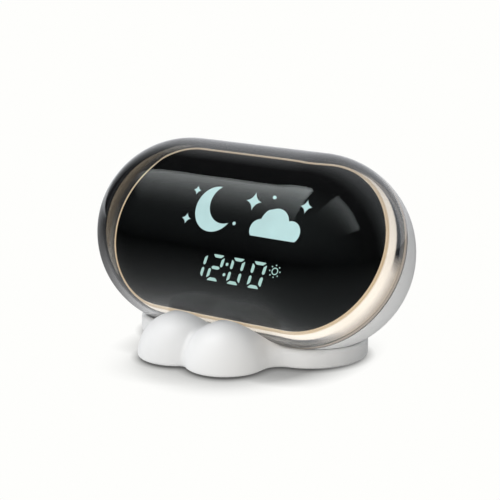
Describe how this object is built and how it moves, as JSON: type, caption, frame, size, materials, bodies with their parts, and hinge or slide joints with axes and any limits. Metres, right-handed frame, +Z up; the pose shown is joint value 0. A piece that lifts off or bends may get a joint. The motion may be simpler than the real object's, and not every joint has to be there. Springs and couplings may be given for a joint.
{
  "type": "kids alarm clock",
  "caption": "Pill-shaped digital alarm clock with a clear dome over a black display, a lit ring and a white back, leaning on a white oval stand with two round feet.",
  "frame": {"origin": "on the table, under the middle of the clock's box", "axes": "+X along the pill, to the right as seen from the front; the face looks along -Y; +Z up"},
  "size_m": [0.15, 0.0952, 0.0865],
  "materials": {
    "clear_shell": "clear polished",
    "white_shell": "satin white",
    "smoked_panel": "polished smoked black",
    "milky_diffuser": "milky, lit from behind",
    "white_inner": "matt white",
    "black_film": "matt black",
    "circuit_board": "green solder mask",
    "light_chip": "clear resin",
    "screw_steel": "zinc plated",
    "black_switch": "matt black",
    "switch_plunger": "matt black",
    "button_white": "satin white",
    "socket_metal": "plain steel",
    "paper_cone": "black paper",
    "magnet": "ferrite with a steel cap",
    "cell_wrap": "shrink-wrapped steel can",
    "foam": "open foam",
    "pad_rubber": "soft grey rubber"
  },
  "bodies": {
    "clock": {"front_dome": "clear_shell", "rear_housing": "white_shell", "base_shell": "white_shell", "base_plate": "white_shell", "face_panel": "smoked_panel", "light_ring": "milky_diffuser", "inner_frame": "white_inner", "display_light_box": "white_inner", "panel_tape": "black_film", "display_film": "black_film", "led_board": "circuit_board", "main_board": "circuit_board", "snooze_board": "circuit_board", "display_leds": "light_chip", "ring_leds": "light_chip", "frame_screws": "screw_steel", "board_screws": "screw_steel", "snooze_screws": "screw_steel", "plate_screws": "screw_steel", "base_screws": "screw_steel", "switch_housings": "black_switch", "snooze_switch": "black_switch", "power_switch": "black_switch", "usb_socket": "socket_metal", "speaker_frame": "socket_metal", "speaker_cone": "paper_cone", "speaker_magnet": "magnet", "battery_cell": "cell_wrap", "battery_pad": "foam", "foot_pads": "pad_rubber"},
    "time_button_body": {"time_button": "button_white", "time_button_plunger": "switch_plunger"},
    "alarm_button_body": {"alarm_button": "button_white", "alarm_button_plunger": "switch_plunger"},
    "plus_button_body": {"plus_button": "button_white", "plus_button_plunger": "switch_plunger"},
    "minus_button_body": {"minus_button": "button_white", "minus_button_plunger": "switch_plunger"},
    "light_button_body": {"light_button": "button_white", "light_button_plunger": "switch_plunger"},
    "snooze_body": {"snooze_button": "button_white", "snooze_plunger": "switch_plunger"},
    "power_knob_body": {"power_knob": "black_switch"}
  },
  "joints": [
    {"name": "time_button_press", "type": "slide", "parent": "clock", "child": "time_button_body", "axis": [0, -0.8763, 0.4818], "range_m": [0, 0.0008], "stiffness_N_per_m": 800},
    {"name": "alarm_button_press", "type": "slide", "parent": "clock", "child": "alarm_button_body", "axis": [0, -0.8763, 0.4818], "range_m": [0, 0.0008], "stiffness_N_per_m": 800},
    {"name": "plus_button_press", "type": "slide", "parent": "clock", "child": "plus_button_body", "axis": [0, -0.8763, 0.4818], "range_m": [0, 0.0008], "stiffness_N_per_m": 800},
    {"name": "minus_button_press", "type": "slide", "parent": "clock", "child": "minus_button_body", "axis": [0, -0.8763, 0.4818], "range_m": [0, 0.0008], "stiffness_N_per_m": 800},
    {"name": "light_button_press", "type": "slide", "parent": "clock", "child": "light_button_body", "axis": [0, -0.8763, 0.4818], "range_m": [0, 0.0008], "stiffness_N_per_m": 800},
    {"name": "snooze_press", "type": "slide", "parent": "clock", "child": "snooze_body", "axis": [0, -0.8368, -0.5476], "range_m": [0, 0.0008], "stiffness_N_per_m": 1000},
    {"name": "power_slide", "type": "slide", "parent": "clock", "child": "power_knob_body", "axis": [1, 0, 0], "range_m": [0, 0.0025]}
  ]
}
